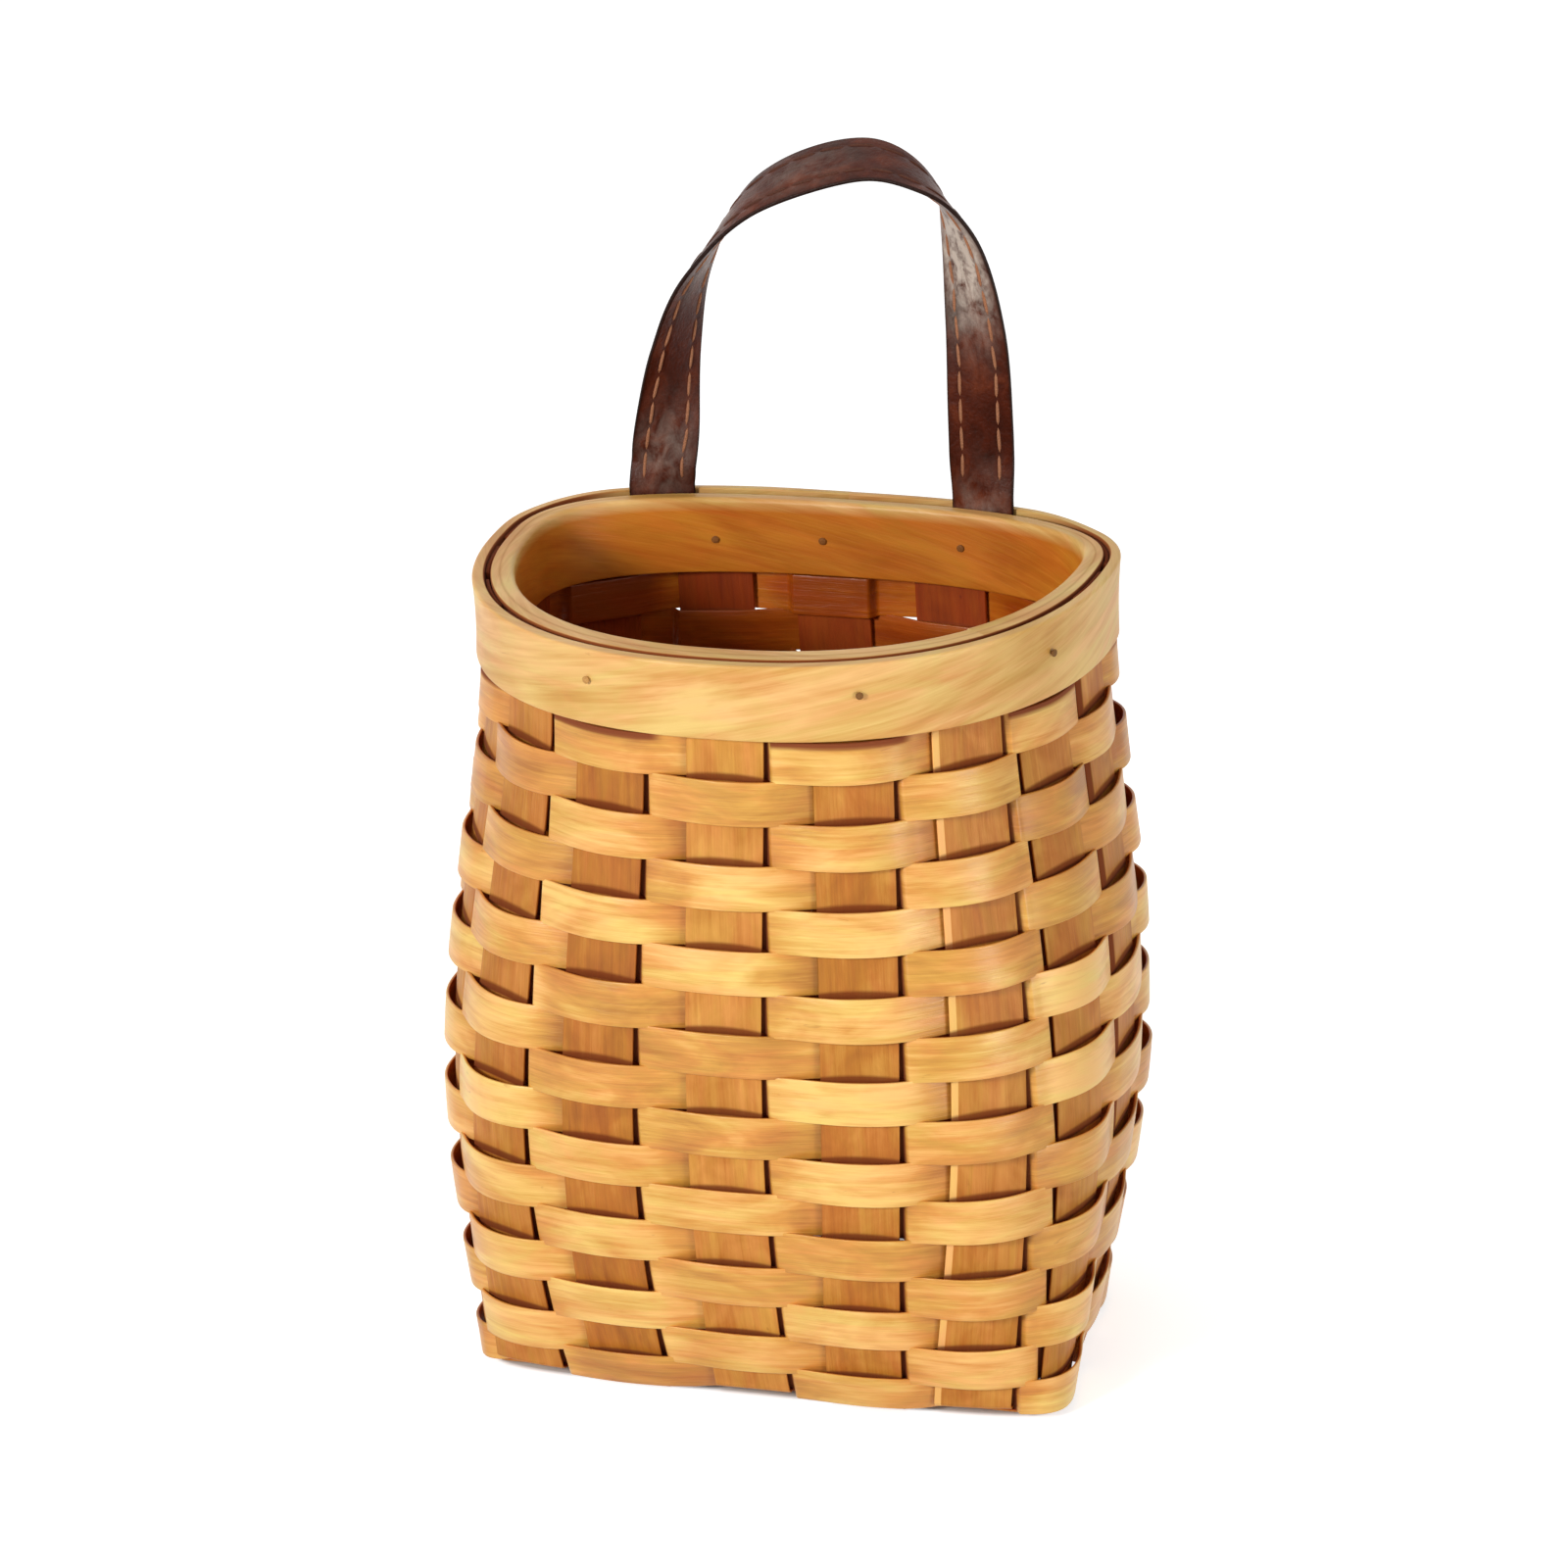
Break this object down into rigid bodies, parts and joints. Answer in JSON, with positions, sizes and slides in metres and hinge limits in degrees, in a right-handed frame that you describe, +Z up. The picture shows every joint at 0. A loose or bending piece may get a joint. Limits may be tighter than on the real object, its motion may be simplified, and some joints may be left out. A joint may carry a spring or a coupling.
{
  "type": "wall basket",
  "caption": "Tall wall basket woven from flat wood splints, with a flat back, a bowed front, a hoop-bound rim and a leather loop to hang it by.",
  "frame": {"origin": "the middle of the base of the whole basket's box, on the surface that the basket stands on", "axes": "+Z up, +Y towards the wall behind the basket's flat back, +X to the right seen from the front"},
  "size_m": [0.2152, 0.1612, 0.3699],
  "materials": {
    "weaver": "satin, honey coloured splint",
    "stake": "satin, darker pinkish brown splint",
    "hoop": "satin, pale bent wood",
    "leather": "semi-gloss dark red-brown leather",
    "brad": "dull steel"
  },
  "bodies": {
    "basket": {"weaver_row_01": "weaver", "weaver_row_02": "weaver", "weaver_row_03": "weaver", "weaver_row_04": "weaver", "weaver_row_05": "weaver", "weaver_row_06": "weaver", "weaver_row_07": "weaver", "weaver_row_08": "weaver", "weaver_row_09": "weaver", "weaver_row_10": "weaver", "weaver_row_11": "weaver", "weaver_row_12": "weaver", "weaver_row_13": "weaver", "weaver_row_14": "weaver", "weaver_row_15": "weaver", "weaver_row_16": "weaver", "weaver_row_17": "weaver", "stake_front_back_1": "stake", "stake_front_back_2": "stake", "stake_front_back_3": "stake", "stake_front_back_4": "stake", "stake_front_back_5": "stake", "stake_side_side_1": "stake", "stake_side_side_2": "stake", "stake_side_side_3": "stake", "hoop_inner": "hoop", "hoop_outer": "hoop", "strap_end_left": "leather", "strap_end_right": "leather", "brad_front_1": "brad", "brad_front_2": "brad", "brad_front_3": "brad", "brad_back_1": "brad", "brad_back_2": "brad", "brad_back_3": "brad"},
    "loop": {"strap_loop": "leather"}
  },
  "joints": [
    {"name": "loop_hinge", "type": "hinge", "parent": "basket", "child": "loop", "pos_m": [-0.00708, 0.06906, 0.2555], "axis": [0.9996, 0.0294, 0], "range_deg": [-75, 88]}
  ]
}
